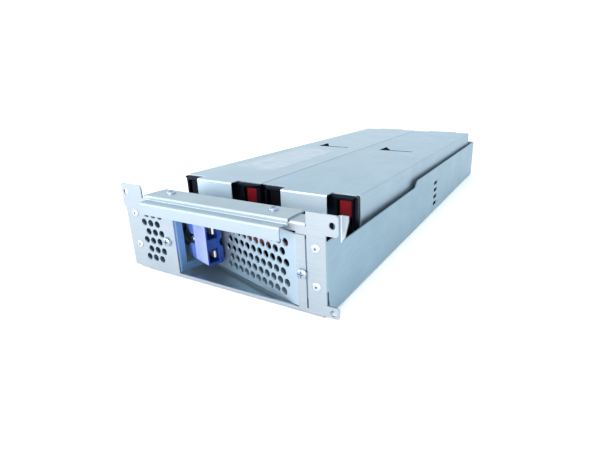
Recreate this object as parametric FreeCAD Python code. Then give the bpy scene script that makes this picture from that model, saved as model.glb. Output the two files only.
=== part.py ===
import FreeCAD, Part
import math
import os

# Rack battery cartridge of an uninterruptible power supply. Millimetres, +Z up, front towards -Y.
# Every function works with the front face of the panel at Y = 0; `save` then moves each piece
# back by half the tray's length, so the origin is the centre of the tray's underside.

V = FreeCAD.Vector
YZ_PLANE = FreeCAD.Rotation(V(1, 1, 1), 120)      # drawn x -> Y, drawn y -> Z, extruded along +X
XZ_PLANE = FreeCAD.Rotation(V(1, 0, 0), 90)       # drawn x -> X, drawn y -> Z, extruded along -Y

# --- sealed batteries: 2 columns of 4, lying on their sides, terminals to the front
CELL_W, CELL_L, CELL_H = 90.0, 107.0, 70.0
COLUMNS, ROWS = 2, 4
COLUMN_GAP = 3.8
ROW_GAP = 0.5
CELL_Y0 = 61.5                                    # front of the first batteries
CELL_EDGE_R = 1.5
LID_L = 14.0                                      # length of the lid welded on the terminal end
LID_SEAM = 0.8
POCKET_W, POCKET_H, POCKET_D = 14.0, 30.0, 8.0    # terminal pocket in each upper front corner
POCKET_X = 34.3                                   # terminal distance from the battery's middle
POCKET_TOP = 3.6
BOOT_W, BOOT_H, BOOT_D = 11.0, 14.0, 6.4
BOOT_CLEAR = 0.6
COLUMN_X = (CELL_W + COLUMN_GAP) / 2              # middle of the right-hand column
CELLS_END = CELL_Y0 + ROWS * CELL_L + (ROWS - 1) * ROW_GAP

# --- sheet steel
SHEET = 1.2
COVER_SHEET = 0.8
BEND_R = 1.6                                      # to the middle of the sheet
FIT = 0.3                                         # battery to cover wall

# --- tray: as wide and long as the batteries and their clearances need
SIDE_CLEAR, REAR_CLEAR = 5.4, 26.8
TRAY_W = COLUMNS * CELL_W + (COLUMNS - 1) * COLUMN_GAP + 2 * (SIDE_CLEAR + SHEET)
TRAY_L = CELLS_END + REAR_CLEAR + SHEET
HALF_W = TRAY_W / 2
WALL_FRONT_H, WALL_LOW_H, WALL_HIGH_H = 56.4, 49.4, 55.6
STEP_Y0, STEP_Y1 = 192.0, 199.7
FLOOR_Y0 = 4.0                                    # front edge of the floor, where the panel's foot is welded on
REAR_BEND_X = HALF_W - 5.5
REAR_WING_X = HALF_W - 20.5
VENT_Y, VENT_Z0, VENT_PITCH, VENT_N = 275.0, 11.2, 8.6, 4
VENT_L, VENT_H = 15.0, 4.4

# --- front panel
PANEL_TOP = 68.6
PANEL_FLANGE = 15.5
PANEL_Z0 = 2.2
FOOT_X0, FOOT_X1 = -(HALF_W - 17.2), HALF_W - 2.5
EAR_TOP, EAR_X0, EAR_X1 = 76.5, HALF_W - 14.6, HALF_W + 9.6
EAR_R_LOW, EAR_FOOT_TOP = 61.8, 10.7
LEFT_EAR_X0, LEFT_EAR_X1 = -(HALF_W + 2.2), -(HALF_W - 22.5)
EAR_HOLE_R = 2.5
EAR_HOLES = ((HALF_W + 5.0, 69.2), (HALF_W + 5.0, 6.0), (-(HALF_W - 2.8), 69.2))
HINGE_X, FLAP_DEG = HALF_W - 23.5, 15.4
OPEN_W, OPEN_Z0, OPEN_Z1 = 118.0, 4.2, 61.7
OPEN_X0 = HINGE_X - OPEN_W
TONGUE_W, SLIT_W, SLIT_Z0 = 7.7, 1.2, 5.0         # flap's tongue in the panel's plane, and the slit beside it
TONGUE_X = HINGE_X + TONGUE_W
WALL_T = 114.2                                    # hinge to the connector bracket's wall
FLAP_GAP = 1.6
FLAP_Z1 = 59.6                                    # top of the flap, its tongue and the bracket
FLANGE_L_X, FLANGE_R_X = -(HALF_W - 16.1), HINGE_X + 0.9    # inner ends of the side walls' front flanges
FLANGE_Z0, FLANGE_Z1 = 12.0, 56.4

# --- fasteners
RIVET_R, RIVET_HEAD_R, RIVET_HEAD_H = 1.6, 3.3, 0.9
RIVETS_X = (-(HALF_W - 10.8), HALF_W - 7.7)
RIVETS_Z = (23.2, 51.4)
REAR_RIVET_X, REAR_RIVETS_Z = HALF_W - 12.5, (20.0, 46.0)
SCREW_R, SCREW_HEAD_R, SCREW_HEAD_H = 2.0, 4.0, 2.4
LEFT_SCREW, RIGHT_SCREW = (OPEN_X0 - 9.0, 31.4), (HINGE_X + 4.9, 31.2)
HOOD_SCREWS = ((-(HALF_W - 44.2), 12.0), (HALF_W - 49.0, 12.0))
HOLE_CLEAR = 0.1

# --- perforation, one pattern for the panel and the flap
HOLE_R, PITCH = 3.1, 7.85
FIELD_X0, FIELD_Z0, FIELD_ROWS = -(HALF_W - 20.6), 13.25, 6
FIELD_COLS = int((LEFT_SCREW[0] - 6.2 - FIELD_X0 - PITCH / 2) / PITCH) + 1
FLAP_T0, FLAP_Z0, FLAP_COLS, FLAP_ROWS = 10.6, 11.4, 10, 6

# --- hood over the panel's upper edge
HOOD_X, HOOD_STEP_X = HALF_W - 28.3, 2.0
LEDGE_X = HOOD_X - HOOD_STEP_X
HOOD_BACK = 20.0
LEDGE_OUT, LEDGE_Z, HOOD_LOW = 8.6, 65.6, 55.6

# --- connector, drawn in the pocket's own directions: t from the hinge inwards, d out of the flap
CONN_T0, CONN_HEAD_L, CONN_LOBE_L = 91.5, 19.0, 14.5
CONN_D0, CONN_THICK, LOBE_DROP = 1.8, 14.7, 1.5
CONN_H, CONN_Z = 36.6, 30.3
POLE_PITCH, LOBE_H = 22.6, 13.6
CAVITY_D, CAVITY_W, CAVITY_H = 12.0, 9.2, 11.4
CAVITY_WALL = 1.4                                 # between the cavities and the outer face
CONTACT_R, CONTACT_H = 1.4, 5.6
WINDOW_D, WINDOW_CLEAR = 23.6, 0.4
SEAT_T1 = 137.0

# --- leads at the front
LEAD_R, JUMPER_R = 2.6, 2.2
LEAD_TURN_T = 148.0                               # where the red lead turns back
LEAD_RUN_Y = CELL_Y0 - 12.0
LEAD_RUN_Z = 27.0                                 # its way back behind the flap
RED_DROP, BLACK_DROP, LINK_DROP = 5.0, 7.0, 15.0  # turns of a lead below its boot

# --- covers
COVER_Z = SHEET + CELL_H + COVER_SHEET
COVER_X = COLUMN_X + CELL_W / 2 + FIT + COVER_SHEET
COVER_Y0, COVER_WALL_Z0 = CELL_Y0 - 7.0, 30.0
COVER_R_END, COVER_L_END = CELLS_END + 16.0, CELLS_END + 22.0
SEAM_L, SEAM_R = -1.6, -0.8
FLAP_LOW = 56.0
CORNER_NOTCH_X, MIDDLE_NOTCH_L, MIDDLE_NOTCH_R = COLUMN_X + 22.1, -(COLUMN_X - 18.9), COLUMN_X - 21.7
NOTCH_L, SIDE_NOTCH_L = 10.5, 12.0                # length of the end notches, and how far the walls stop short
LANCE_Y = CELL_Y0 + 2 * (CELL_L + ROW_GAP) - 1.0
LANCE_LEFT_X, LANCE_RIGHT_X = -(COLUMN_X + 20.1), COLUMN_X - 24.4
LANCE_L, LANCE_W = 43.5, 1.2
LANCE_TRI_W, LANCE_TRI_L = 9.5, 20.0


# ---------------------------------------------------------------- helpers

def box(x0, x1, y0, y1, z0, z1):
    """A box given by its limits."""
    return Part.makeBox(x1 - x0, y1 - y0, z1 - z0, V(x0, y0, z0))


def cyl(radius, start, end):
    """A cylinder between two points."""
    axis = end - start
    return Part.makeCylinder(radius, axis.Length, start, axis)


def fuse(shapes):
    """One clean solid out of touching or overlapping ones."""
    return shapes[0].multiFuse(shapes[1:]).removeSplitter() if len(shapes) > 1 else shapes[0]


def plate(points, thick, rotation=None, base=V(0, 0, 0)):
    """Flat plate from a closed 2-D outline, extruded along the drawn plane's normal."""
    wire = Part.makePolygon([V(x, y, 0) for x, y in points] + [V(points[0][0], points[0][1], 0)])
    solid = Part.Face(wire).extrude(V(0, 0, thick))
    return placed(solid, rotation, base)


def placed(solid, rotation=None, base=V(0, 0, 0)):
    """The solid turned into another drawing plane and moved."""
    solid.Placement = FreeCAD.Placement(base, rotation or FreeCAD.Rotation())
    return solid


def folded(points, thick, length, radius=BEND_R, rotation=None, base=V(0, 0, 0)):
    """Sheet folded along the middle line `points`, each corner an arc, extruded by `length`."""
    pts = [V(x, y, 0) for x, y in points]
    half = thick / 2.0
    sides = {half: [], -half: []}
    for offset, run in sides.items():
        for i, p in enumerate(pts):
            before = (p - pts[i - 1]).normalize() if i else None
            after = (pts[i + 1] - p).normalize() if i < len(pts) - 1 else None
            if before is None or after is None:
                d = after or before
                run.append((p + V(-d.y, d.x, 0) * offset,))
                continue
            turn = math.atan2(before.cross(after).z, before.dot(after))
            cut = radius * math.tan(abs(turn) / 2)
            left = 1 if turn > 0 else -1
            start, end = p - before * cut, p + after * cut
            n0, n1 = V(-before.y, before.x, 0), V(-after.y, after.x, 0)
            centre = start + n0 * radius * left
            middle = centre + (p - centre).normalize() * (radius - left * offset)
            run.append((start + n0 * offset, middle, end + n1 * offset))
    edges = []
    last = None
    ring = sides[half] + [tuple(reversed(c)) for c in reversed(sides[-half])]
    for corner in ring + [ring[0]]:
        if last is not None:
            edges.append(Part.makeLine(last, corner[0]))
        if len(corner) == 3 and len(edges) < 4 * len(pts):
            edges.append(Part.Arc(*corner).toShape())
        last = corner[-1]
    solid = Part.Face(Part.Wire(edges)).extrude(V(0, 0, length))
    return placed(solid, rotation, base)


def pocket(t, d, z=0.0):
    """Point of the slanted pocket: t inwards along the flap from its hinge, d out of its face."""
    c, s = math.cos(math.radians(FLAP_DEG)), math.sin(math.radians(FLAP_DEG))
    return V(HINGE_X - t * c - d * s, t * s - d * c, z)


def pocket_xy(t, d):
    """The same point as a plan pair."""
    p = pocket(t, d)
    return (p.x, p.y)


def pocket_box(t0, t1, d0, d1, z0, z1):
    """A box whose sides follow the pocket's directions."""
    plan = [pocket_xy(t0, d0), pocket_xy(t0, d1), pocket_xy(t1, d1), pocket_xy(t1, d0)]
    return plate(plan, z1 - z0, base=V(0, 0, z0))


def lead(points, radius, bends):
    """A round lead along straight runs, each corner an arc of its own radius."""
    edges, last = [], points[0]
    for before, corner, after, bend in zip(points, points[1:], points[2:], bends):
        d0, d1 = (corner - before).normalize(), (after - corner).normalize()
        turn = d0.getAngle(d1)
        cut = bend * math.tan(turn / 2)
        start, end = corner - d0 * cut, corner + d1 * cut
        inward = (d1 - d0).normalize()
        centre = corner + inward * (bend / math.cos(turn / 2))
        middle = centre - inward * bend
        edges += [Part.makeLine(last, start), Part.Arc(start, middle, end).toShape()]
        last = end
    edges.append(Part.makeLine(last, points[-1]))
    path = Part.Wire(edges)
    ring = Part.Wire([Part.makeCircle(radius, points[0], points[1] - points[0])])
    return path.makePipeShell([ring], True, True)


def save(name, shape):
    """Write one node, moved so that the origin is the centre of the tray's underside."""
    moved = shape.copy()
    moved.translate(V(0, -TRAY_L / 2, 0))
    moved.exportStep("parts/%s.step" % name)


# ---------------------------------------------------------------- front panel, flap and tray

def hole_field(x0, z0, cols, rows):
    """Centres of the staggered perforation; every second row is shifted by half a pitch."""
    for row in range(rows):
        for col in range(cols):
            yield x0 + (col + (row % 2) / 2.0) * PITCH, z0 + row * PITCH


def panel_outline():
    """Front view of the flat panel: two strips, two ears on the right, one ear on the left."""
    w = HALF_W
    return [(FOOT_X0, PANEL_Z0), (-w + 0.8, PANEL_Z0), (-w, PANEL_Z0 + 0.8), (-w, 53.8),
            (LEFT_EAR_X0, 58.0), (LEFT_EAR_X0, EAR_TOP - 1.5), (LEFT_EAR_X0 + 1.5, EAR_TOP),
            (LEFT_EAR_X1 - 1.5, EAR_TOP), (LEFT_EAR_X1, EAR_TOP - 1.5), (LEFT_EAR_X1, 66.0),
            (EAR_X0, 66.0), (EAR_X0, EAR_TOP), (EAR_X1 - 1.5, EAR_TOP), (EAR_X1, EAR_TOP - 1.5),
            (EAR_X1, EAR_R_LOW + 1.5), (EAR_X1 - 1.5, EAR_R_LOW), (w, EAR_R_LOW), (w, EAR_FOOT_TOP),
            (EAR_X1 - 1.5, EAR_FOOT_TOP), (EAR_X1, EAR_FOOT_TOP - 1.5), (EAR_X1, PANEL_Z0 + 1.0),
            (EAR_X1 - 1.0, PANEL_Z0), (FOOT_X1, PANEL_Z0)]


def front_panel():
    """Panel with ears, its foot folded back to the floor and its upper edge folded back as a flange."""
    t = SHEET
    top_x0, top_x1 = LEFT_EAR_X1 + 1.2, EAR_X0 - 0.7
    body = plate(panel_outline(), t, XZ_PLANE, V(0, t, 0))
    foot = folded([(FLOOR_Y0, t / 2), (t / 2, t / 2), (t / 2, 8)], t, FOOT_X1 - FOOT_X0,
                  rotation=YZ_PLANE, base=V(FOOT_X0, 0, 0))
    top = folded([(t / 2, 60), (t / 2, PANEL_TOP - t / 2), (PANEL_FLANGE, PANEL_TOP - t / 2)], t,
                 top_x1 - top_x0, rotation=YZ_PLANE, base=V(top_x0, 0, 0))
    slit = TONGUE_X + SLIT_W
    opening = plate([(OPEN_X0, OPEN_Z0), (HINGE_X + 0.5, OPEN_Z0), (HINGE_X + 1.5, SLIT_Z0), (slit, SLIT_Z0),
                     (slit, FLAP_Z1 + 0.5), (HINGE_X + 0.5, FLAP_Z1 + 0.5), (HINGE_X + 0.5, OPEN_Z1),
                     (OPEN_X0, OPEN_Z1)], 3 * t, XZ_PLANE, V(0, 2 * t, 0))
    holes = [cyl(HOLE_R, V(x, -t, z), V(x, 2 * t, z))
             for x, z in hole_field(FIELD_X0, FIELD_Z0, FIELD_COLS, FIELD_ROWS)]
    holes += [cyl(EAR_HOLE_R, V(x, -t, z), V(x, 2 * t, z)) for x, z in EAR_HOLES]
    holes += [cyl(SCREW_R + HOLE_CLEAR, V(x, y, 60), V(x, y, 80)) for x, y in HOOD_SCREWS]
    x, z = LEFT_SCREW
    holes.append(cyl(SCREW_R + HOLE_CLEAR, V(x, -t, z), V(x, 2 * t, z)))
    return fuse([body, foot, top]).cut(Part.makeCompound([opening] + holes + rivet_holes()))


def perforated_flap():
    """Perforated plate swung inwards about the hinge line; its tongue stays in the panel's plane."""
    t = SHEET
    line = [(TONGUE_X, t / 2), (HINGE_X, t / 2), pocket_xy(WALL_T - FLAP_GAP, -t / 2)]
    flap = folded(line, t, FLAP_Z1 - SLIT_Z0, base=V(0, 0, SLIT_Z0))
    lower = pocket_box(3.0, WALL_T - FLAP_GAP, -t, 0, OPEN_Z0 + 0.4, SLIT_Z0)
    holes = []
    for dist, z in hole_field(FLAP_T0, FLAP_Z0, FLAP_COLS, FLAP_ROWS):
        dist += PITCH / 2 if round((z - FLAP_Z0) / PITCH) % 2 == 0 else -PITCH / 2
        holes.append(cyl(HOLE_R, pocket(dist, 2, z), pocket(dist, -3, z)))
    x, z = RIGHT_SCREW
    holes.append(cyl(SCREW_R + HOLE_CLEAR, V(x, -t, z), V(x, 2 * t, z)))
    return fuse([flap, lower]).cut(Part.makeCompound(holes))


def side_walls():
    """Floor and both side walls; the upper edge steps up towards the rear."""
    t, half, high = SHEET, HALF_W - SHEET / 2, WALL_FRONT_H + 15
    trough = folded([(-half, high), (-half, t / 2), (half, t / 2), (half, high)], t, TRAY_L - 2 * FLOOR_Y0,
                    rotation=XZ_PLANE, base=V(0, TRAY_L - FLOOR_Y0, 0))
    edge = [(0, WALL_FRONT_H), (22.6, WALL_FRONT_H), (22.6, WALL_LOW_H), (STEP_Y0, WALL_LOW_H),
            (STEP_Y1, WALL_HIGH_H), (TRAY_L, WALL_HIGH_H), (TRAY_L, high + 5), (0, high + 5)]
    trimmed = trough.cut(plate(edge, TRAY_W + 10, YZ_PLANE, V(-HALF_W - 5, 0, 0)))
    vents = []
    for row in range(VENT_N):
        z = VENT_Z0 + row * VENT_PITCH
        slot = fuse([box(half - 5, half + 5, VENT_Y - (VENT_L - VENT_H) / 2, VENT_Y + (VENT_L - VENT_H) / 2,
                         z - VENT_H / 2, z + VENT_H / 2)] +
                    [cyl(VENT_H / 2, V(half - 5, VENT_Y + s * (VENT_L - VENT_H) / 2, z),
                         V(half + 5, VENT_Y + s * (VENT_L - VENT_H) / 2, z)) for s in (-1, 1)])
        vents += [slot, slot.mirror(V(0, 0, 0), V(1, 0, 0))]
    return trimmed.cut(Part.makeCompound(vents))


def stop_lug():
    """Lug on the right wall, its rear edge folded outwards as a stop behind the ear."""
    t, x = SHEET, HALF_W - SHEET / 2
    lug = folded([(x, 13.0), (x, 22.0), (x + 6.6, 22.0)], t, 69.4 - 49.4, base=V(0, 0, 49.4))
    taper = plate([(x + 0.9, 40.0), (x + 0.9, 49.5), (x + 3.6, 53.0), (x + 7.0, 67.4), (x + 6.0, 80),
                   (x + 12, 80), (x + 12, 40)], 6, XZ_PLANE, V(0, 25, 0))
    return lug.cut(taper)


def front_flanges():
    """Inward flanges of the side walls, lying behind the panel's strips."""
    t, half = SHEET, HALF_W - SHEET / 2
    parts = []
    for side, inner in ((1, FLANGE_R_X), (-1, FLANGE_L_X)):
        parts.append(folded([(side * half, 8.0), (side * half, 1.5 * t), (inner, 1.5 * t)], t,
                            FLANGE_Z1 - FLANGE_Z0, base=V(0, 0, FLANGE_Z0)))
    relief = box(half - 0.9, half + 1, 0, 3.4, 0, 19.9)
    x, z = RIGHT_SCREW
    return fuse(parts[:1]).cut(relief), parts[1], cyl(SCREW_R + HOLE_CLEAR, V(x, t, z), V(x, 3 * t, z))


def rear_wall():
    """Rear wall folded up from the floor, with the side walls' flanges inside it."""
    t, half, y = SHEET, HALF_W - SHEET / 2, TRAY_L - SHEET / 2
    wall = folded([(TRAY_L - 12, t / 2), (y, t / 2), (y, WALL_HIGH_H)], t, 2 * REAR_BEND_X,
                  rotation=YZ_PLANE, base=V(-REAR_BEND_X, 0, 0))
    wings = [folded([(s * half, TRAY_L - 8), (s * half, y - t), (s * REAR_WING_X, y - t)], t, WALL_HIGH_H - 10,
                    base=V(0, 0, 10)) for s in (-1, 1)]
    return [wall] + wings


def rivet_points():
    """Each rivet: where its head sits and which way it goes in."""
    for x in RIVETS_X:
        for z in RIVETS_Z:
            yield V(x, 0, z), V(0, 1, 0)
    for x in (-REAR_RIVET_X, REAR_RIVET_X):
        for z in REAR_RIVETS_Z:
            yield V(x, TRAY_L, z), V(0, -1, 0)


def rivet_holes():
    """Clearance holes through both sheets at every rivet."""
    return [cyl(RIVET_R + HOLE_CLEAR, p - d * SHEET, p + d * 3 * SHEET) for p, d in rivet_points()]


def tray():
    """The tray: floor, side walls with their front flanges, rear wall and stop lug."""
    right, left, screw_hole = front_flanges()
    body = fuse([side_walls(), stop_lug(), right, left] + rear_wall())
    return body.cut(Part.makeCompound(rivet_holes() + [screw_hole]))


# ---------------------------------------------------------------- hood, bracket, fasteners

def hood():
    """Folded strip over the panel's upper edge: top plate, step, finger ledge and hanging lip."""
    t, z = SHEET, PANEL_TOP + SHEET / 2
    line = [(HOOD_BACK, z), (-t / 2, z), (-t / 2, LEDGE_Z - t / 2), (-LEDGE_OUT + t / 2, LEDGE_Z - t / 2),
            (-LEDGE_OUT + t / 2, HOOD_LOW)]
    sheet = folded(line, t, 2 * HOOD_X, radius=1.3, rotation=YZ_PLANE, base=V(-HOOD_X, 0, 0))
    for side in (-1, 1):
        x0, x1 = sorted((side * LEDGE_X, side * (HOOD_X + 1)))
        sheet = sheet.cut(box(x0, x1, -LEDGE_OUT - 1, -t - 0.6, HOOD_LOW - 1, LEDGE_Z + 1))
    holes = [cyl(SCREW_R + HOLE_CLEAR, V(x, y, 60), V(x, y, 80)) for x, y in HOOD_SCREWS]
    return sheet.cut(Part.makeCompound(holes))


def connector_bracket():
    """Folded bracket: flange behind the panel, wall with a window, seat and two tabs behind the flap."""
    t = SHEET
    start = (LEFT_SCREW[0] - 5.4, 1.5 * t)
    mid_t = WALL_T + t / 2
    c, s = math.cos(math.radians(FLAP_DEG)), math.sin(math.radians(FLAP_DEG))
    corner_d = (mid_t * s - 1.5 * t) / c
    corner = pocket_xy(mid_t, corner_d)
    z0, z1 = OPEN_Z0 + 0.8, FLAP_Z1
    w0 = CONN_Z - CONN_H / 2 - WINDOW_CLEAR
    w1 = CONN_Z + CONN_H / 2 + WINDOW_CLEAR
    full = [start, corner, pocket_xy(mid_t, -1.5 * t), pocket_xy(WALL_T - 14, -1.5 * t)]
    parts = [folded(full, t, w0 - z0, base=V(0, 0, z0)),
             folded(full, t, z1 - w1, base=V(0, 0, w1)),
             folded([start, corner, pocket_xy(mid_t, WINDOW_D)], t, w1 - w0, base=V(0, 0, w0)),
             folded([pocket_xy(mid_t, -2 * t), pocket_xy(mid_t, CONN_D0 - t / 2),
                     pocket_xy(SEAT_T1, CONN_D0 - t / 2)], t, w1 - w0, radius=1.2, base=V(0, 0, w0))]
    x, z = LEFT_SCREW
    holes = [cyl(SCREW_R + HOLE_CLEAR, V(x, 0, z), V(x, 4 * t, z)),
             cyl(1.5 + HOLE_CLEAR, pocket(conn_screw_t(), 3, CONN_Z), pocket(conn_screw_t(), -4, CONN_Z))]
    return fuse(parts).cut(Part.makeCompound(holes))


def rivet(point, direction):
    """Blind rivet: low domed head with its mandrel hole, shank and set tail behind the sheets."""
    h, r = RIVET_HEAD_H, RIVET_HEAD_R
    grip = 2 * SHEET
    line = [V(0.8, 0, -h), V(r - 0.9, 0, -h), V(r, 0, -0.3), V(r, 0, 0), V(RIVET_R, 0, 0), V(RIVET_R, 0, grip),
            V(RIVET_R + 0.7, 0, grip), V(RIVET_R + 0.7, 0, grip + 2.4), V(RIVET_R - 0.4, 0, grip + 4.0),
            V(0, 0, grip + 4.0), V(0, 0, 0.8), V(0.8, 0, 0.8), V(0.8, 0, -h)]
    solid = Part.Face(Part.makePolygon(line)).revolve(V(0, 0, 0), V(0, 0, 1), 360)
    return placed(solid, FreeCAD.Rotation(V(0, 0, 1), direction), point)


def screw(point, direction, length, radius=SCREW_R, head_r=SCREW_HEAD_R, head_h=SCREW_HEAD_H):
    """Pan head screw with a cross recess; the head's underside lies at `point`."""
    h = head_h
    line = [V(0, 0, -h), V(head_r * 0.62, 0, -h), V(head_r * 0.9, 0, -h * 0.72), V(head_r, 0, -h * 0.3),
            V(head_r, 0, 0), V(radius, 0, 0), V(radius, 0, length - 0.8), V(radius - 0.8, 0, length),
            V(0, 0, length), V(0, 0, -h)]
    solid = Part.Face(Part.makePolygon(line)).revolve(V(0, 0, 0), V(0, 0, 1), 360)
    arm, half = head_r * 0.55, head_r * 0.13
    recess = fuse([box(-arm, arm, -half, half, -h - 1, -h * 0.45), box(-half, half, -arm, arm, -h - 1, -h * 0.45)])
    return placed(solid.cut(recess), FreeCAD.Rotation(V(0, 0, 1), direction), point)


def conn_screw_t():
    """Where the connector's fixing screw stands: between the two lobes."""
    return CONN_T0 + CONN_HEAD_L + 5.2


# ---------------------------------------------------------------- connector

def connector_housing():
    """Two-pole connector body: thick mating head with two cavities and two rounded lobes behind."""
    t0, t1 = CONN_T0, CONN_T0 + CONN_HEAD_L
    d0, d1 = CONN_D0, CONN_D0 + CONN_THICK
    z0, z1 = CONN_Z - CONN_H / 2, CONN_Z + CONN_H / 2
    head = pocket_box(t0, t1, d0, d1, z0, z1)
    long_edges = [e for e in head.Edges if abs(e.Vertexes[0].Z - e.Vertexes[1].Z) < 1e-6
                  and abs(e.Length - CONN_HEAD_L) < 1e-6]
    head = head.makeFillet(2.2, long_edges)
    parts, cuts = [head], []
    lobe_d0, lobe_d1 = d0, d1 - LOBE_DROP
    end = t1 + CONN_LOBE_L - LOBE_H / 2
    for pole in (-1, 1):
        z = CONN_Z + pole * POLE_PITCH / 2
        lobe = pocket_box(t1 - 1, end, lobe_d0, lobe_d1, z - LOBE_H / 2, z + LOBE_H / 2)
        nose = cyl(LOBE_H / 2, pocket(end, lobe_d0, z), pocket(end, lobe_d1, z))
        parts += [lobe, nose]
        outer = d1 - CAVITY_WALL
        cuts.append(pocket_box(t0 - 1, t0 + CAVITY_D, outer - CAVITY_W, outer,
                               z - CAVITY_H / 2 - pole * 1.0, z + CAVITY_H / 2 - pole * 1.0))
        cuts.append(cyl(LEAD_R + HOLE_CLEAR, pocket(t0 + CAVITY_D + 3, lead_d(), z), pocket(end + 20, lead_d(), z)))
    web = pocket_box(t1 - 1, t1 + 9.4, d0, d0 + 9.0, CONN_Z - POLE_PITCH / 2, CONN_Z + POLE_PITCH / 2)
    parts.append(web)
    cuts.append(cyl(1.5 + HOLE_CLEAR, pocket(conn_screw_t(), d0 - 1, CONN_Z), pocket(conn_screw_t(), d1 + 1, CONN_Z)))
    valley = cyl(4.2, pocket(t0 - 1, d0 - 1.6, CONN_Z), pocket(t1 + 1, d0 - 1.6, CONN_Z))
    return fuse(parts).cut(Part.makeCompound(cuts + [valley]))


def lead_d():
    """Depth at which both leads enter the connector."""
    return CONN_D0 + (CONN_THICK - LOBE_DROP) / 2


def contact(pole):
    """Sprung contact with a rounded front, standing in the cavity beside its inner wall."""
    z = CONN_Z + pole * (POLE_PITCH / 2 - 1.0)
    nose, t1 = CONN_T0 + 2.6 + CONTACT_R, CONN_T0 + CAVITY_D
    d = CONN_D0 + CONN_THICK - CAVITY_WALL - CAVITY_W + 0.4 + CONTACT_R
    low, high = z - CONTACT_H / 2, z + CONTACT_H / 2
    return fuse([pocket_box(nose, t1, d - CONTACT_R, d + CONTACT_R, low, high),
                 cyl(CONTACT_R, pocket(nose, d, low), pocket(nose, d, high))])


# ---------------------------------------------------------------- batteries and leads

def column_x(column):
    """Middle of a battery column: 0 left, 1 right."""
    return (column - 0.5) * (CELL_W + COLUMN_GAP)


def cell_z():
    """Height of the batteries' underside: they lie on the tray's floor."""
    return SHEET


def battery(column, row):
    """Sealed battery on its side: case, welded lid with a seam groove, and two terminal pockets."""
    x, y, z = column_x(column), CELL_Y0 + row * (CELL_L + ROW_GAP), cell_z()
    body = box(x - CELL_W / 2, x + CELL_W / 2, y, y + CELL_L, z, z + CELL_H)
    body = body.makeFillet(CELL_EDGE_R, [e for e in body.Edges if abs(e.Vertexes[0].Y - e.Vertexes[1].Y) > 1])
    ring = box(x - CELL_W, x + CELL_W, y + LID_L, y + LID_L + LID_SEAM, z - 5, z + CELL_H + 5)
    core = box(x - CELL_W / 2 + 0.5, x + CELL_W / 2 - 0.5, y, y + CELL_L, z + 0.5, z + CELL_H - 0.5)
    body = body.cut(ring.cut(core))
    for side in (-1, 1):
        px = x + side * POCKET_X
        top = z + CELL_H - POCKET_TOP
        body = body.cut(box(px - POCKET_W / 2, px + POCKET_W / 2, y - 1, y + POCKET_D, top - POCKET_H, top))
    return body


def boot_z():
    """Underside of the terminal boots."""
    return cell_z() + CELL_H - POCKET_TOP - BOOT_CLEAR - BOOT_H


def terminal(x):
    """Blade terminal standing out of the pocket's back wall."""
    y = CELL_Y0 + POCKET_D
    return box(x - 3.15, x + 3.15, y - 4.6, y, boot_z() + 5.2, boot_z() + 6.0)


def boot(x):
    """Soft insulating boot over a terminal, its lead leaving downwards."""
    y1 = CELL_Y0 + POCKET_D
    body = box(x - BOOT_W / 2, x + BOOT_W / 2, y1 - BOOT_D, y1, boot_z(), boot_z() + BOOT_H)
    body = body.makeFillet(1.2, [e for e in body.Edges if e.CenterOfMass.y < y1 - 0.1])
    hollow = box(x - 3.15, x + 3.15, y1 - 4.6, y1 + 1, boot_z() + 5.2, boot_z() + 6.0)
    return body.cut(hollow)


def boot_exit(x, drop):
    """The end of a lead in a boot's underside, and the corner below it."""
    y = CELL_Y0 + POCKET_D - BOOT_D / 2 - 0.3
    return V(x, y, boot_z()), V(x, y, boot_z() - drop)


def leads():
    """The three leads at the front: both main leads and the link between the two columns."""
    red_x, black_x = COLUMN_X + POCKET_X, -COLUMN_X - POCKET_X
    low, high = CONN_Z - POLE_PITCH / 2, CONN_Z + POLE_PITCH / 2
    root = CONN_T0 + CAVITY_D + 3
    end, turn = boot_exit(red_x, RED_DROP)
    far = pocket(LEAD_TURN_T, lead_d(), high)
    red = lead([pocket(root, lead_d(), high), far, V(far.x, LEAD_RUN_Y, high), V(0, LEAD_RUN_Y - 2, LEAD_RUN_Z - 2),
                V(red_x, LEAD_RUN_Y, LEAD_RUN_Z), turn, end], LEAD_R, (10.0, 8.5, 60.0, 8.5, 8.5))
    end, turn = boot_exit(black_x, BLACK_DROP)
    c, s = math.cos(math.radians(FLAP_DEG)), math.sin(math.radians(FLAP_DEG))
    near = pocket((HINGE_X - lead_d() * s - black_x) / c, lead_d(), low)
    black = lead([pocket(root, lead_d(), low), near, turn, end], LEAD_R, (15.0, 13.0))
    a, up_a = boot_exit(-COLUMN_X + POCKET_X, BLACK_DROP)
    b, up_b = boot_exit(COLUMN_X - POCKET_X, BLACK_DROP)
    y, z = CELL_Y0 - 6.0, a.z - LINK_DROP
    link = lead([a, up_a, V(a.x, y, z), V(b.x, y, z), up_b, b], JUMPER_R, (8.5, 7.5, 7.5, 8.5))
    return {"lead_red": red, "lead_black": black, "lead_link": link}


# ---------------------------------------------------------------- covers

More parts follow.
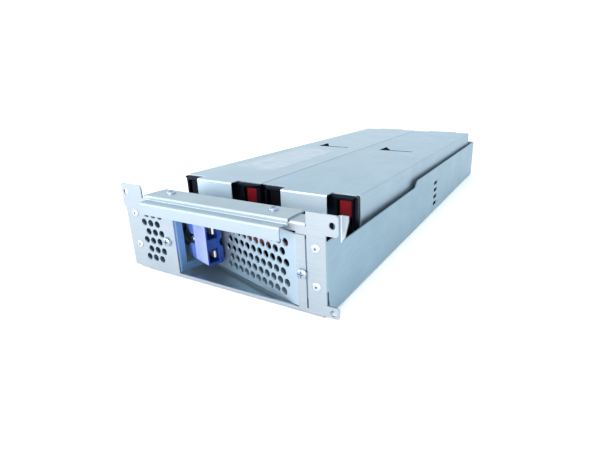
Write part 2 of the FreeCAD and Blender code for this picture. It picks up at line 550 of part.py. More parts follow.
def cover(side):
    """Sheet cover over one column: top, outer wall, a flap between notches at each end, lanced slot."""
    t = COVER_SHEET
    edge, y1 = (SEAM_R, COVER_R_END) if side > 0 else (SEAM_L, COVER_L_END)
    z_mid = COVER_Z - t / 2
    line = [(edge, z_mid), (side * (COVER_X - t / 2), z_mid), (side * (COVER_X - t / 2), COVER_WALL_Z0)]
    top = folded(line, t, y1 - COVER_Y0 - 2 * NOTCH_L, radius=1.2, rotation=XZ_PLANE, base=V(0, y1 - NOTCH_L, 0))
    stop = SIDE_NOTCH_L - NOTCH_L
    for y in (COVER_Y0 + NOTCH_L, y1 - SIDE_NOTCH_L):
        top = top.cut(box(*sorted((side * (COVER_X - 3), side * 2 * COVER_X)), y, y + stop, 0, COVER_Z + 1))
    x0, x1 = sorted((side * CORNER_NOTCH_X, MIDDLE_NOTCH_R if side > 0 else MIDDLE_NOTCH_L))
    flaps = [folded([(y + way * (NOTCH_L + 5), z_mid), (y + way * t / 2, z_mid), (y + way * t / 2, FLAP_LOW)], t,
                    x1 - x0, radius=1.2, rotation=YZ_PLANE, base=V(x0, 0, 0)) for y, way in ((COVER_Y0, 1), (y1, -1))]
    nick = box(x0 - 1, x0 + 4.5, COVER_Y0 + NOTCH_L - 1.2, COVER_Y0 + NOTCH_L, FLAP_LOW, COVER_Z + 10)
    sx = LANCE_RIGHT_X if side > 0 else LANCE_LEFT_X
    slot = box(sx, sx + LANCE_L, LANCE_Y, LANCE_Y + LANCE_W, COVER_Z - 5, COVER_Z + 5)
    corner = plate([(sx, LANCE_Y), (sx + LANCE_TRI_W, LANCE_Y), (sx, LANCE_Y + LANCE_TRI_L)], 10,
                   base=V(0, 0, COVER_Z - 5))
    return fuse([top] + flaps).cut(nick).cut(fuse([slot, corner]))


# ---------------------------------------------------------------- assembly

def build():
    """Write every node of the cartridge."""
    os.makedirs("parts", exist_ok=True)
    save("tray", tray())
    save("front_panel", front_panel())
    save("perforated_flap", perforated_flap())
    save("hood", hood())
    save("connector_bracket", connector_bracket())
    save("rivets", Part.makeCompound([rivet(p, d) for p, d in rivet_points()]))
    front = [V(LEFT_SCREW[0], 0, LEFT_SCREW[1]), V(RIGHT_SCREW[0], 0, RIGHT_SCREW[1])]
    save("panel_screws", Part.makeCompound([screw(p, V(0, 1, 0), 7.0) for p in front]))
    top = [V(x, y, PANEL_TOP + SHEET) for x, y in HOOD_SCREWS]
    save("hood_screws", Part.makeCompound([screw(p, V(0, 0, -1), 6.0, head_r=3.6, head_h=1.8) for p in top]))
    save("connector_housing", connector_housing())
    for name, pole in (("contact_upper", 1), ("contact_lower", -1)):
        save(name, contact(pole))
    seat = pocket(conn_screw_t(), CONN_D0 + 9.0, CONN_Z)
    into = pocket(0, 0) - pocket(0, 1)
    save("connector_screw", screw(seat, into, 13.0, radius=1.5, head_r=2.7, head_h=4.8))
    for column, side in enumerate(("left", "right")):
        for row in range(ROWS):
            save("battery_%s_%d" % (side, row + 1), battery(column, row))
    red = [column_x(0) + POCKET_X, column_x(1) + POCKET_X]
    black = [column_x(0) - POCKET_X, column_x(1) - POCKET_X]
    save("terminals", Part.makeCompound([terminal(x) for x in red + black]))
    for name, xs in (("boots_red", red), ("boots_black", black)):
        save(name, Part.makeCompound([boot(x) for x in xs]))
    for name, shape in leads().items():
        save(name, shape)
    save("cover_left", cover(-1))
    save("cover_right", cover(1))


build()
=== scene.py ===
import logging
import math
from collections.abc import Callable
from dataclasses import dataclass, field
from enum import Enum

import bmesh
import bpy
from mathutils import Matrix, Vector


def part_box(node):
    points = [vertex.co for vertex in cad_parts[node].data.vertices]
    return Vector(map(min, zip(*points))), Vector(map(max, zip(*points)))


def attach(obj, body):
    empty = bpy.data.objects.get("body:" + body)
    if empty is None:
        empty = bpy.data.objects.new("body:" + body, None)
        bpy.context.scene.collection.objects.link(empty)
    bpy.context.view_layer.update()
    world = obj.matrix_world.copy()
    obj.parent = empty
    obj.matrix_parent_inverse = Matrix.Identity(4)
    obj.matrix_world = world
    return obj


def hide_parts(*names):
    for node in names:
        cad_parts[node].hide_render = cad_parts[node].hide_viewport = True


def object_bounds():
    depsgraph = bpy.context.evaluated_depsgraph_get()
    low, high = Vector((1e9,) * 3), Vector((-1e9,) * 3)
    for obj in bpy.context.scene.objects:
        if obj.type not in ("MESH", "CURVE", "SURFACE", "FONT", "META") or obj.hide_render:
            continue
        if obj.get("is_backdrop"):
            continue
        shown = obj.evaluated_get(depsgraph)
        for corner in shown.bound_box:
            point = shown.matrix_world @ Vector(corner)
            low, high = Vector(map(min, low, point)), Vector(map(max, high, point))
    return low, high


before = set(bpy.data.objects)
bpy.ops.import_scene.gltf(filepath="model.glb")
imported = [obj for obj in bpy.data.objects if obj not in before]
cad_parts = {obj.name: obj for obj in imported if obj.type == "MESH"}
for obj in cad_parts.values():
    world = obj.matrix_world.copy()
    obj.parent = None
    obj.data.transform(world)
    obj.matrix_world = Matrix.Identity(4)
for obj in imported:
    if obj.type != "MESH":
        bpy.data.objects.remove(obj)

# Looks of a rack battery cartridge: zinc-plated sheet steel round sealed batteries, with a blue
# two-pole connector in a slanted pocket. Metres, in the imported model's own frame.

MM_PER_M = 1000.0
HALF_L, HINGE_X = 259.5, 75.0      # mm: half the tray's length, and the flap's hinge line
FLAP_ANGLE = math.radians(15.4)
ALONG_FLAP = Vector((-math.cos(FLAP_ANGLE), math.sin(FLAP_ANGLE), 0))
OUT_OF_FLAP = Vector((-math.sin(FLAP_ANGLE), -math.cos(FLAP_ANGLE), 0))
WELD_PIECE, WELD_COPY = 1e-7, 1e-6 # m: vertices closer than this are one
FLAT_ANGLE = math.radians(0.5)     # faces that meet at less are one flat face
ALIGNED = 0.99                     # two directions with this cosine or more are the same

logging.basicConfig(level=logging.INFO, format="%(message)s")
LOG = logging.getLogger("cartridge")


# ---------------------------------------------------------------- small tools

def mm(value: float) -> float:
    """Returns millimetres as metres."""
    return value / MM_PER_M


def per_size(size_mm: float) -> float:
    """Returns the texture scale at which one feature measures `size_mm`."""
    return MM_PER_M / size_mm


def linear(code: str) -> tuple[float, float, float, float]:
    """Turns an sRGB hex colour into linear light.

    Args:
        code: colour as "#rrggbb".

    Returns:
        Linear red, green, blue and an alpha of one.
    """
    parts = [int(code[i:i + 2], 16) / 255.0 for i in (1, 3, 5)]
    colour = tuple(c / 12.92 if c <= 0.04045 else ((c + 0.055) / 1.055) ** 2.4 for c in parts)
    return colour + (1.0,)


def add_node(tree: bpy.types.NodeTree, kind: str, links: dict | None = None,
             values: dict | None = None, **settings) -> bpy.types.Node:
    """Adds one shader node.

    Args:
        tree: the node tree that takes it.
        kind: the node's type name.
        links: input name or number to the output socket that feeds it.
        values: input name or number to a constant.
        **settings: properties of the node itself.

    Returns:
        The new node.
    """
    node = tree.nodes.new(kind)
    for name, value in settings.items():
        setattr(node, name, value)
    for name, value in (values or {}).items():
        node.inputs[name].default_value = value
    for name, source in (links or {}).items():
        tree.links.new(source, node.inputs[name])
    return node


def new_piece(name: str, shape: bmesh.types.BMesh, finish: "Finish") -> bpy.types.Object:
    """Makes a finished piece of a bmesh, places it on the cartridge's body and dresses it.

    Args:
        name: the piece's name.
        shape: its mesh, in the model's frame; freed here.
        finish: its material.

    Returns:
        The new object.
    """
    bmesh.ops.remove_doubles(shape, verts=shape.verts, dist=WELD_PIECE)
    bmesh.ops.recalc_face_normals(shape, faces=shape.faces)
    mesh = bpy.data.meshes.new(name)
    shape.to_mesh(mesh)
    shape.free()
    mesh.materials.append(finish.material())
    piece = bpy.data.objects.new(name, mesh)
    bpy.context.scene.collection.objects.link(piece)
    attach(piece, "root")
    LOG.info("piece %s: %d faces", name, len(mesh.polygons))
    return piece


def dress(node: str, finish: "Finish") -> None:
    """Gives a carried-over node its finish.

    Args:
        node: the node's name.
        finish: the material that it takes.
    """
    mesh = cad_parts[node].data
    mesh.materials.clear()
    mesh.materials.append(finish.material())
    LOG.info("dressed %s in %s", node, finish.name)


def patch(node: str, finish: "Finish", inside: Callable[[Vector, Vector], bool]) -> None:
    """Gives some faces of a dressed node another finish.

    Args:
        node: the node's name.
        finish: the material that those faces take.
        inside: says whether a face is one of them, from its middle in millimetres and its normal.
    """
    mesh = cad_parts[node].data
    mesh.materials.append(finish.material())
    for face in mesh.polygons:
        if inside(face.center * MM_PER_M, face.normal):
            face.material_index = len(mesh.materials) - 1


def merged_copy(node: str) -> bmesh.types.BMesh:
    """Copies a node's mesh with its split vertices merged and flat faces joined.

    Args:
        node: the node's name.

    Returns:
        The copy, ready for bmesh operators.
    """
    shape = bmesh.new()
    shape.from_mesh(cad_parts[node].data)
    bmesh.ops.remove_doubles(shape, verts=shape.verts, dist=WELD_COPY)
    bmesh.ops.dissolve_limit(shape, angle_limit=FLAT_ANGLE, verts=shape.verts, edges=shape.edges)
    return shape


def soften(shape: bmesh.types.BMesh, edges: list[bmesh.types.BMEdge], radius: float,
           segments: int) -> None:
    """Rounds some edges.

    Args:
        shape: the mesh that they belong to.
        edges: the edges.
        radius: how far the rounding reaches, in millimetres.
        segments: how many steps it has.
    """
    bmesh.ops.bevel(shape, geom=edges, offset=mm(radius), segments=segments, profile=0.5,
                    affect="EDGES", material=-1)


def pocket(t: float, d: float, z: float) -> Vector:
    """Returns a point of the slanted pocket.

    Args:
        t: way along the flap from its hinge, in millimetres.
        d: way out of the flap's face, in millimetres.
        z: height in millimetres.
    """
    hinge = Vector((mm(HINGE_X), -mm(HALF_L), mm(z)))
    return hinge + ALONG_FLAP * mm(t) + OUT_OF_FLAP * mm(d)


def plate(x: tuple[float, float], y: tuple[float, float],
          z: tuple[float, float]) -> bmesh.types.BMesh:
    """Returns a box between limits in millimetres, y counted from the panel's face."""
    shape = bmesh.new()
    size = Vector((x[1] - x[0], y[1] - y[0], z[1] - z[0])) / MM_PER_M
    middle = Vector((sum(x) / 2, sum(y) / 2 - HALF_L, sum(z) / 2)) / MM_PER_M
    place = Matrix.Translation(middle) @ Matrix.Diagonal((*size, 1.0))
    bmesh.ops.create_cube(shape, size=1.0, matrix=place)
    return shape


# ---------------------------------------------------------------- finishes

class Grain(Enum):
    """The direction in which a sheet was rolled."""

    ALONG_X = (0.04, 1.0, 1.0)
    ALONG_Y = (1.0, 0.04, 1.0)


@dataclass(frozen=True)
class Finish:
    """A named surface; each kind of finish builds its own nodes."""

    name: str

    def material(self) -> bpy.types.Material:
        """Returns the finish's material, made on first use."""
        found = bpy.data.materials.get(self.name)
        if found:
            return found
        made = bpy.data.materials.new(self.name)
        made.use_nodes = True
        tree = made.node_tree
        tree.nodes.clear()
        shader = add_node(tree, "ShaderNodeBsdfPrincipled")
        add_node(tree, "ShaderNodeOutputMaterial", {"Surface": shader.outputs["BSDF"]})
        place = add_node(tree, "ShaderNodeTexCoord").outputs["Object"]
        self.fill(tree, shader, place)
        return made

    def fill(self, tree: bpy.types.NodeTree, shader: bpy.types.Node,
             place: bpy.types.NodeSocket) -> None:
        """Sets the shader's sockets and patterns.

        Args:
            tree: the material's node tree.
            shader: its Principled shader.
            place: object coordinates.
        """
        raise NotImplementedError


@dataclass(frozen=True)
class TonedFinish(Finish):
    """A surface whose tone and roughness follow one pattern."""

    light: str
    dark: str
    roughness: float

    def noise(self, tree: bpy.types.NodeTree, place: bpy.types.NodeSocket, size_mm: float,
              detail: float, roughness: float) -> bpy.types.NodeSocket:
        """Returns a noise pattern.

        Args:
            tree: the material's node tree.
            place: the coordinates that it follows.
            size_mm: the size of one feature in millimetres.
            detail: how many finer layers it has.
            roughness: how strong they are.
        """
        values = {"Scale": per_size(size_mm), "Detail": detail, "Roughness": roughness}
        return add_node(tree, "ShaderNodeTexNoise", {"Vector": place}, values).outputs["Fac"]

    def tone(self, tree: bpy.types.NodeTree, shader: bpy.types.Node,
             pattern: bpy.types.NodeSocket, spread: float) -> None:
        """Lets the base colour run from dark to light with a pattern.

        Args:
            tree: the material's node tree.
            shader: its Principled shader.
            pattern: the pattern, from zero to one.
            spread: how far on each side of the pattern's middle the run reaches.
        """
        ramp = add_node(tree, "ShaderNodeValToRGB", {"Fac": pattern})
        ends = ramp.color_ramp.elements
        ends[0].position, ends[0].color = 0.5 - spread, linear(self.dark)
        ends[1].position, ends[1].color = 0.5 + spread, linear(self.light)
        tree.links.new(ramp.outputs["Color"], shader.inputs["Base Color"])

    def rough(self, tree: bpy.types.NodeTree, shader: bpy.types.Node,
              pattern: bpy.types.NodeSocket, duller: float, shinier: float) -> None:
        """Lets the roughness fall as a pattern rises.

        Args:
            tree: the material's node tree.
            shader: its Principled shader.
            pattern: the pattern, from zero to one.
            duller: how far above the finish's roughness it starts.
            shinier: how far below it ends.
        """
        values = {"From Min": 0.3, "From Max": 0.7, "To Min": self.roughness + duller,
                  "To Max": self.roughness - shinier}
        scaled = add_node(tree, "ShaderNodeMapRange", {"Value": pattern}, values)
        tree.links.new(scaled.outputs["Result"], shader.inputs["Roughness"])

    def relief(self, tree: bpy.types.NodeTree, shader: bpy.types.Node,
               pattern: bpy.types.NodeSocket, strength: float, depth_mm: float) -> None:
        """Gives the surface a shallow relief.

        Args:
            tree: the material's node tree.
            shader: its Principled shader.
            pattern: the relief's height.
            strength: how much of it shows.
            depth_mm: its depth in millimetres.
        """
        bump = add_node(tree, "ShaderNodeBump", {"Height": pattern},
                        {"Strength": strength, "Distance": mm(depth_mm)})
        tree.links.new(bump.outputs["Normal"], shader.inputs["Normal"])


@dataclass(frozen=True)
class ZincSheet(TonedFinish):
    """Electro-zinc plated steel sheet: satin, cool grey, a fine rolled grain and faint clouds."""

    grain: Grain = Grain.ALONG_Y
    light: str = "#9cb1bf"
    dark: str = "#94a9b7"
    roughness: float = 0.5

    def fill(self, tree: bpy.types.NodeTree, shader: bpy.types.Node,
             place: bpy.types.NodeSocket) -> None:
        """Sets a metal shader with rolled streaks of about 0.8 mm and clouds of about 30 mm.

        Args:
            tree: the material's node tree.
            shader: its Principled shader.
            place: object coordinates.
        """
        stretched = add_node(tree, "ShaderNodeMapping", {"Vector": place},
                             {"Scale": self.grain.value}).outputs["Vector"]
        # real grain is near 0.1 mm; 0.8 mm is the finest that still shows
        streak = self.noise(tree, stretched, size_mm=0.8, detail=3.0, roughness=0.6)
        cloud = self.noise(tree, place, size_mm=30.0, detail=2.0, roughness=0.5)
        both = add_node(tree, "ShaderNodeMix", {"A": streak, "B": cloud}, {"Factor": 0.45},
                        data_type="FLOAT").outputs["Result"]
        shader.inputs["Metallic"].default_value = 1.0
        self.tone(tree, shader, both, spread=0.15)
        self.rough(tree, shader, both, duller=0.05, shinier=0.05)
        self.relief(tree, shader, streak, strength=0.03, depth_mm=0.05)


@dataclass(frozen=True)
class TurnedMetal(TonedFinish):
    """Small metal parts, and cut edges toned dark as painted shade: rivets, zinc-plated screws,
    tinned contacts.
    """

    speck_mm: float = 0.6

    def fill(self, tree: bpy.types.NodeTree, shader: bpy.types.Node,
             place: bpy.types.NodeSocket) -> None:
        """Sets a metal shader with small tool marks.

        Args:
            tree: the material's node tree.
            shader: its Principled shader.
            place: object coordinates.
        """
        marks = self.noise(tree, place, size_mm=self.speck_mm, detail=4.0, roughness=0.65)
        shader.inputs["Metallic"].default_value = 1.0
        self.tone(tree, shader, marks, spread=0.2)
        self.rough(tree, shader, marks, duller=0.08, shinier=0.06)


@dataclass(frozen=True)
class MouldedPlastic(TonedFinish):
    """Moulded plastic with a fine spark-eroded texture: ABS, PVC, silicone or polycarbonate."""

    texture_mm: float
    bump: float = 0.25
    ior: float = 1.53
    gloss: float = 0.5
    sheen: str = "#ffffff"

    def fill(self, tree: bpy.types.NodeTree, shader: bpy.types.Node,
             place: bpy.types.NodeSocket) -> None:
        """Sets a plastic shader with the mould's texture and a slow change of tone over 12 mm.

        Args:
            tree: the material's node tree.
            shader: its Principled shader.
            place: object coordinates.
        """
        fine = self.noise(tree, place, size_mm=self.texture_mm, detail=2.0, roughness=0.6)
        slow = self.noise(tree, place, size_mm=12.0, detail=3.0, roughness=0.55)
        shader.inputs["IOR"].default_value = self.ior
        shader.inputs["Specular IOR Level"].default_value = self.gloss
        shader.inputs["Specular Tint"].default_value = linear(self.sheen)
        self.tone(tree, shader, slow, spread=0.15)
        self.rough(tree, shader, slow, duller=0.06, shinier=0.04)
        self.relief(tree, shader, fine, strength=self.bump, depth_mm=0.04)


# One zinc-plated steel is used throughout: its tones differ from sheet to sheet only as painted
# light and shade that evens out the lamps. The grain runs lengthwise on tray and covers, and
# crosswise on the front parts.
TRAY_ZINC = ZincSheet("zinc_plated_tray", light="#8fa9b8", dark="#87a1b0")
COVER_ZINC_LEFT = ZincSheet("zinc_plated_cover_left", light="#a4b6c3", dark="#9caebb")
COVER_ZINC_RIGHT = ZincSheet("zinc_plated_cover_right")
FLAP_ZINC = ZincSheet(
    "zinc_plated_flap", grain=Grain.ALONG_X, roughness=0.45, light="#a4b9c8", dark="#9cb1c0")
# lighter tone for the front face of the tray's stop lug: painted light where the ear shades it
LUG_PAINTED_LIGHT = ZincSheet("zinc_lug_painted_light", light="#d2d9dd", dark="#c6ced3", roughness=0.6)
FRONT_ZINC = ZincSheet(
    "zinc_plated_front", grain=Grain.ALONG_X, roughness=0.45, light="#9eabb5", dark="#96a3ad")
HOOD_ZINC = ZincSheet(
    "zinc_plated_hood", grain=Grain.ALONG_X, roughness=0.45, light="#a0b0ba", dark="#98a8b2")
# lighter tone for the covers' forward faces: painted light
COVER_FRONT_PAINTED_LIGHT = ZincSheet(
    "zinc_cover_front_painted_light", grain=Grain.ALONG_X, roughness=0.45, light="#bcd4e2", dark="#b4ccda")
# darker, bluer tone for the bracket inside the pocket: painted shade
BRACKET_PAINTED_SHADE = ZincSheet("zinc_bracket_painted_shade", light="#7296b6", dark="#6689aa")

# small metal: rivet heads, sheared edges toned dark as painted shade, mandrels, screws and contacts
RIVET_ALLOY = TurnedMetal("upset_aluminium", light="#b9c6cf", dark="#a3b2bd", roughness=0.45)
LANCE_EDGE_SHADE = TurnedMetal("sheared_edge_painted_shade", light="#3c464e", dark="#2c343a", roughness=0.6)
MANDREL_STEEL = TurnedMetal("oiled_mandrel_steel", light="#3a3f42", dark="#26292b", roughness=0.5)
SCREW_ZINC = TurnedMetal("blue_zinc_screw", light="#b0c2d1", dark="#7b90a5", roughness=0.28)
TINNED_COPPER = TurnedMetal("tinned_copper", light="#dcdcda", dark="#b9b8b6", roughness=0.3)

# plastics; the connector is one blue moulding in three tones: its own blue kept dark as painted
# shade on the mating face, pale as a painted reflection on the outer face, bright as painted light
# on the lobes
CONNECTOR_SHADED_BLUE = MouldedPlastic(
    "blue_polycarbonate", light="#053280", dark="#04286a", roughness=0.3, texture_mm=0.6,
    bump=0.1, ior=1.58)
CONNECTOR_LOBE_LIGHT = MouldedPlastic(
    "blue_polycarbonate_lobe_light", light="#6f98ff", dark="#658ef8", roughness=0.3, texture_mm=0.5,
    bump=0.1, ior=1.58)
CONNECTOR_FACE_REFLECTION = MouldedPlastic(
    "blue_polycarbonate_face_reflection", light="#7a8edc", dark="#7286d8", roughness=0.6, texture_mm=0.5,
    bump=0.3, ior=1.58)

# cases: the same ABS, with no gloss where it is only seen through openings
BATTERY_ABS = MouldedPlastic(
    "black_abs_case", light="#05070c", dark="#030408", roughness=0.3, texture_mm=0.7, gloss=0.2,
    sheen="#7fa6d8")
BATTERY_DULL = MouldedPlastic(
    "dull_abs_case", light="#040609", dark="#030406", roughness=0.8, texture_mm=0.7, gloss=0.02)
BOOT_RED = MouldedPlastic(
    "red_pvc_boot", light="#5c0410", dark="#48030c", roughness=0.4, texture_mm=0.9, bump=0.1,
    gloss=0.12)
BOOT_BLACK = MouldedPlastic(
    "black_pvc_boot", light="#07080c", dark="#040507", roughness=0.4, texture_mm=0.9, bump=0.1,
    gloss=0.08, sheen="#7fa6d8")
LEAD_RED = MouldedPlastic(
    "red_silicone_lead", light="#6e0f1a", dark="#520a12", roughness=0.55, texture_mm=1.2,
    bump=0.1, ior=1.43)
LEAD_BLACK = MouldedPlastic(
    "black_silicone_lead", light="#101115", dark="#08090b", roughness=0.55, texture_mm=1.2,
    bump=0.1, ior=1.43, sheen="#7fa6d8")
LABEL_FILM = MouldedPlastic(
    "silver_polyester_film", light="#889aa7", dark="#8294a1", roughness=0.35, texture_mm=0.4,
    bump=0.02, ior=1.6)


# ---------------------------------------------------------------- sub-assemblies

@dataclass
class Steelwork:
    """Tray, panel, flap, hood, bracket and covers; lengths in mm, y from the panel's face."""

    finishes: dict[str, Finish] = field(default_factory=lambda: {
        "tray": TRAY_ZINC, "front_panel": FRONT_ZINC, "perforated_flap": FLAP_ZINC,
        "hood": HOOD_ZINC, "connector_bracket": BRACKET_PAINTED_SHADE, "cover_left": COVER_ZINC_LEFT,
        "cover_right": COVER_ZINC_RIGHT})
    label_x: tuple[float, float] = (-76.0, -25.0)
    label_y: tuple[float, float] = (116.0, 248.0)
    cover_top: float = 72.0
    film_thick: float = 0.1
    film_corner: float = 2.0
    tongue_from: float = 0.6
    lug_x: float = 98.2
    lug_y: float = 30.0
    lug_z: float = 52.0
    lance_x: dict[str, float] = field(default_factory=lambda: {
        "cover_left": -67.0, "cover_right": 22.5})
    lance_y: float = 275.5
    lance_l: float = 43.5
    lance_width: float = 1.2
    corner_w: float = 9.5
    corner_l: float = 20.0
    lance_opens: float = 2.3
    lance_reach: float = 0.2
    lance_margin: float = 1.0
    flap_clear: float = 40.0
    lit_front_facing: float = 0.5
    shaded_cut_facing: float = 0.3
    lug_facing: float = 0.7
    corner_opens: tuple[float, float] = (5.5, 6.5)

    def lanced(self, node: str) -> None:
        """Opens the lance wider on a visible copy of a cover; paints light on its front flaps
        and shade on its cut edges beside the lance.

        Args:
            node: the cover's node.
        """
        shape = merged_copy(node)
        x0 = self.lance_x[node]
        near, far = self.lance_y, self.lance_y + self.lance_width
        moves = {(x0, near + self.corner_l): (0.0, self.corner_opens[1]),
                 (x0 + self.corner_w * (1 - self.lance_width / self.corner_l), far):
                     (self.corner_opens[0], self.lance_opens),
                 (x0 + self.lance_l, far): (0.0, self.lance_opens)}
        for vert in shape.verts:
            for (x, y), (dx, dy) in moves.items():
                if (abs(vert.co.x * MM_PER_M - x) < self.lance_reach
                        and abs(vert.co.y * MM_PER_M + HALF_L - y) < self.lance_reach):
                    vert.co += Vector((mm(dx), mm(dy), 0))
                    break
        piece = new_piece(f"{node}_sheet", shape, self.finishes[node])
        sheet, lit_front, shaded_cut = 0, 1, 2
        for finish in (COVER_FRONT_PAINTED_LIGHT, LANCE_EDGE_SHADE):
            piece.data.materials.append(finish.material())
        for face in piece.data.polygons:
            x, y = face.center.x * MM_PER_M, face.center.y * MM_PER_M + HALF_L
            beside_lance = x0 - self.lance_margin < x < x0 + self.lance_l + self.lance_margin
            # forward faces of the front flaps get painted light
            if y < near - self.flap_clear:
                face.material_index = lit_front if face.normal.y < -self.lit_front_facing else sheet
            # faces beside the lance are toned dark: painted shade in the slot
            elif (y < near + self.flap_clear and beside_lance
                  and abs(face.normal.z) < self.shaded_cut_facing):
                face.material_index = shaded_cut
        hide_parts(node)

    def build(self) -> None:
        """Dresses each folded sheet and lays the bare label film on the left cover."""
        for node, finish in self.finishes.items():
            dress(node, finish)
        # the front face of the tray's stop lug gets painted light
        patch("tray", LUG_PAINTED_LIGHT, lambda at, normal: (
            at.x > self.lug_x and at.z > self.lug_z and at.y < self.lug_y - HALF_L
            and normal.y < -self.lug_facing))
        patch("perforated_flap", FRONT_ZINC, lambda at, _: at.x > HINGE_X + self.tongue_from)
        for node in self.lance_x:
            self.lanced(node)
        film = plate(self.label_x, self.label_y, (self.cover_top, self.cover_top + self.film_thick))
        upright = [e for e in film.edges
                   if abs(e.verts[0].co.z - e.verts[1].co.z) > mm(self.film_thick / 2)]
        soften(film, upright, self.film_corner, segments=4)
        new_piece("label_film", film, LABEL_FILM)


@dataclass
class Fasteners:
    """Rivets and screws; lengths in mm, y from the panel's face."""

    rivets_x: tuple[float, float] = (-87.7, 90.8)
    rivets_z: tuple[float, float] = (23.2, 51.4)
    mandrel_r: float = 0.7
    mandrel_y: tuple[float, float] = (-0.55, 0.75)

    def mandrels(self) -> None:
        """Sets the broken end of its mandrel in each rivet head at the front."""
        shape = bmesh.new()
        low, high = self.mandrel_y
        radius = mm(self.mandrel_r)
        for x in self.rivets_x:
            for z in self.rivets_z:
                middle = Vector((x, (low + high) / 2 - HALF_L, z)) / MM_PER_M
                place = Matrix.Translation(middle) @ Matrix.Rotation(math.pi / 2, 4, "X")
                bmesh.ops.create_cone(shape, cap_ends=True, segments=24, radius1=radius,
                                      radius2=radius, depth=mm(high - low), matrix=place)
        new_piece("rivet_mandrels", shape, MANDREL_STEEL)

    def build(self) -> None:
        """Dresses the rivets and every screw."""
        dress("rivets", RIVET_ALLOY)
        self.mandrels()
        for node in ("panel_screws", "hood_screws", "connector_screw"):
            dress(node, SCREW_ZINC)


@dataclass
class PowerConnector:
    """Blue two-pole connector with its contacts."""

    edge_mm: float = 0.6
    painted_from_mm: float = 14.0
    lobes_from_mm: float = 110.6
    outward_facing: float = 0.6
    border_mm: float = 1.6
    groove_mm: tuple[float, float] = (0.35, 0.25)

    def housing(self) -> None:
        """Shapes the housing's visible copy: soft mating edge and grooved border, with a pale
        painted reflection on its outer face and bright painted light on its lobes.
        """
        shape = merged_copy("connector_housing")
        mating = -ALONG_FLAP
        rim = [e for e in shape.edges if len(e.link_faces) == 2
               and max(f.normal.dot(OUT_OF_FLAP) for f in e.link_faces) > ALIGNED
               and max(f.normal.dot(mating) for f in e.link_faces) > ALIGNED]
        soften(shape, rim, self.edge_mm, segments=2)
        outer = max((f for f in shape.faces if f.normal.dot(OUT_OF_FLAP) > ALIGNED),
                    key=lambda f: f.calc_area())
        width, depth = self.groove_mm
        for inset, sinks in ((self.border_mm, 0.0), (width, -depth), (width, depth)):
            bmesh.ops.inset_region(shape, faces=[outer], thickness=mm(inset), depth=mm(sinks),
                                   use_even_offset=True)
        piece = new_piece("connector_body", shape, CONNECTOR_SHADED_BLUE)
        painted_face, lobe = 1, 2
        for finish in (CONNECTOR_FACE_REFLECTION, CONNECTOR_LOBE_LIGHT):
            piece.data.materials.append(finish.material())
        # outward faces get the pale painted reflection, and on the lobes the bright painted light
        for face in piece.data.polygons:
            place = face.center - pocket(0, 0, 0)
            outward = face.normal.dot(OUT_OF_FLAP) > self.outward_facing
            if outward and place.dot(OUT_OF_FLAP) > mm(self.painted_from_mm):
                on_lobe = place.dot(ALONG_FLAP) > mm(self.lobes_from_mm)
                face.material_index = lobe if on_lobe else painted_face
        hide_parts("connector_housing")

    def build(self) -> None:
        """Shapes the housing and dresses both contacts."""
        self.housing()
        for node in ("contact_upper", "contact_lower"):
            dress(node, TINNED_COPPER)


@dataclass
class BatteryPack:
    """The sealed batteries, their terminals, boots and leads."""

    columns: tuple[str, str] = ("left", "right")
    rows: int = 4
    lid_radius: float = 2.8
    rim_reach: float = 0.05

    def front_battery(self, column: str) -> None:
        """Rounds the lid's front edges on a visible copy of a column's first battery.

        Args:
            column: "left" or "right".
        """
        node = f"battery_{column}_1"
        low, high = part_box(node)
        shape = merged_copy(node)
        tiny = mm(self.rim_reach)

        def on_rim(edge: bmesh.types.BMEdge) -> bool:
            """Returns whether an edge lies on the outline of the lid's front face."""
            if any(v.co.y > low.y + tiny for v in edge.verts):
                return False
            middle = (edge.verts[0].co + edge.verts[1].co) / 2
            return min(middle.z - low.z, high.z - middle.z,
                       middle.x - low.x, high.x - middle.x) < tiny

        soften(shape, [e for e in shape.edges if on_rim(e)], self.lid_radius, segments=6)
        piece = new_piece(f"case_{column}_front", shape, BATTERY_ABS)
        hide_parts(node)

    def build(self) -> None:
        """Dresses cases, terminals, boots and leads."""
        for column in self.columns:
            for row in range(1, self.rows):
                dress(f"battery_{column}_{row + 1}", BATTERY_DULL)
            dress(f"battery_{column}_1", BATTERY_ABS)
            self.front_battery(column)
        for node, finish in (("terminals", TINNED_COPPER), ("boots_red", BOOT_RED),
                             ("boots_black", BOOT_BLACK), ("lead_red", LEAD_RED),
                             ("lead_black", LEAD_BLACK), ("lead_link", LEAD_BLACK)):
            dress(node, finish)


# ---------------------------------------------------------------- studio

@dataclass(frozen=True)
class SoftBox:
    """One area lamp: where it hangs and what it faces, its size in m, power in W and colour."""

    name: str
    place: tuple[float, float, float]
    target: tuple[float, float, float]
    size: tuple[float, float]
    power: float
    colour: str


MIDDLE = (0.0, -0.1, 0.03)         # m: what most lamps face
SOFT_BOXES = (
    SoftBox("table", (-0.5, -1.3, 1.5), (-0.1, -0.5, 0.0), (1.6, 1.0), 15.0, "#ffeee6"),
    SoftBox("front", (-0.19, -2.20, 0.60), MIDDLE, (1.6, 0.6), 36.0, "#ffe2d2"),
    SoftBox("left", (-1.9, -1.0, 0.35), MIDDLE, (0.8, 0.6), 17.0, "#dcefff"),
    SoftBox("fill", (0.92, -1.93, 0.45), MIDDLE, (0.8, 0.6), 22.0, "#fbf8ff"),
)


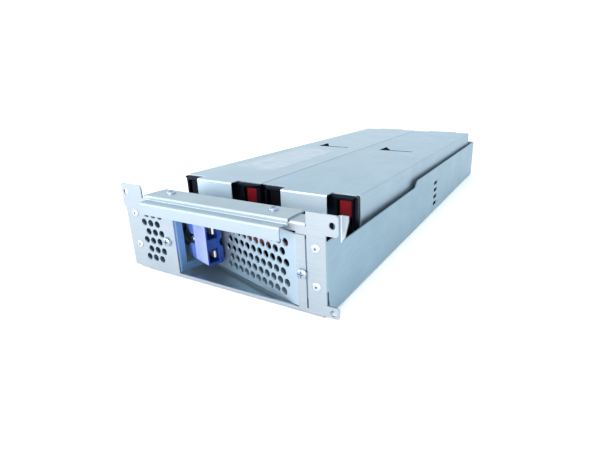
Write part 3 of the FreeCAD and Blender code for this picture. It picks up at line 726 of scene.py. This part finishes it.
@dataclass
class Studio:
    """Pale floor, soft lights and the camera; lengths in m, angles in degrees, the lens in mm."""

    floor_size: float = 12.0
    floor_colour: str = "#f6f7f8"
    floor_roughness: float = 0.9
    surround: str = "#f5fcff"
    surround_power: float = 1.31
    floor_gap: float = mm(0.2)
    camera_place: Vector = field(default_factory=lambda: Vector((0.2207, -0.4718, 0.1562)))
    azimuth: float = 27.79
    elevation: float = 18.28
    roll: float = -0.62
    lens: float = 24.456
    shift: tuple[float, float] = (-0.0654, -0.0150)

    def floor(self) -> None:
        """Lays a plain white floor just under the cartridge."""
        shape = bmesh.new()
        low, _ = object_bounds()
        bmesh.ops.create_grid(shape, x_segments=1, y_segments=1, size=self.floor_size / 2,
                              matrix=Matrix.Translation((0, 0, low.z - self.floor_gap)))
        mesh = bpy.data.meshes.new("floor")
        shape.to_mesh(mesh)
        shape.free()
        paper = bpy.data.materials.new("white_paper")
        paper.use_nodes = True
        shader = paper.node_tree.nodes["Principled BSDF"]
        shader.inputs["Base Color"].default_value = linear(self.floor_colour)
        shader.inputs["Roughness"].default_value = self.floor_roughness
        mesh.materials.append(paper)
        floor = bpy.data.objects.new("floor", mesh)
        bpy.context.scene.collection.objects.link(floor)
        floor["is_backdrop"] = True

    def light(self, box: SoftBox) -> None:
        """Hangs one soft box.

        Args:
            box: the lamp to hang.
        """
        lamp = bpy.data.lights.new(box.name, "AREA")
        lamp.shape, lamp.size, lamp.size_y = "RECTANGLE", box.size[0], box.size[1]
        lamp.energy, lamp.color = box.power, linear(box.colour)[:3]
        holder = bpy.data.objects.new(box.name, lamp)
        holder.location = Vector(box.place)
        holder.rotation_mode = "QUATERNION"
        facing = Vector(box.target) - Vector(box.place)
        holder.rotation_quaternion = facing.to_track_quat("-Z", "Y")
        bpy.context.scene.collection.objects.link(holder)

    def lights(self) -> None:
        """Sets the bright surround and the soft boxes."""
        world = bpy.data.worlds.new("studio")
        world.use_nodes = True
        sky = world.node_tree.nodes["Background"]
        sky.inputs["Color"].default_value = linear(self.surround)
        sky.inputs["Strength"].default_value = self.surround_power
        bpy.context.scene.world = world
        for box in SOFT_BOXES:
            self.light(box)

    def camera(self) -> None:
        """Places the camera."""
        a, e, r = (math.radians(v) for v in (self.azimuth, self.elevation, self.roll))
        back = Vector((math.sin(a) * math.cos(e), -math.cos(a) * math.cos(e), math.sin(e)))
        right = (-back).cross(Vector((0, 0, 1))).normalized()
        up = right.cross(-back)
        x, y = right * math.cos(r) + up * math.sin(r), up * math.cos(r) - right * math.sin(r)
        lens = bpy.data.cameras.new("camera")
        lens.lens, lens.sensor_width = self.lens, 36.0
        lens.shift_x, lens.shift_y = self.shift
        lens.clip_start, lens.clip_end = 0.01, 50.0
        camera = bpy.data.objects.new("camera", lens)
        turned = Matrix((x, y, back)).transposed().to_4x4()
        camera.matrix_world = Matrix.Translation(self.camera_place) @ turned
        bpy.context.scene.collection.objects.link(camera)
        bpy.context.scene.camera = camera

    def build(self) -> None:
        """Sets up the studio."""
        self.floor()
        self.lights()
        self.camera()
        bpy.context.scene.view_settings.view_transform = "Standard"


def main() -> None:
    """Builds the looks in order."""
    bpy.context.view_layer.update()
    for part in (Studio(), Steelwork(), Fasteners(), PowerConnector(), BatteryPack()):
        part.build()
        LOG.info("built %s", type(part).__name__)


if __name__ == "__main__":
    main()
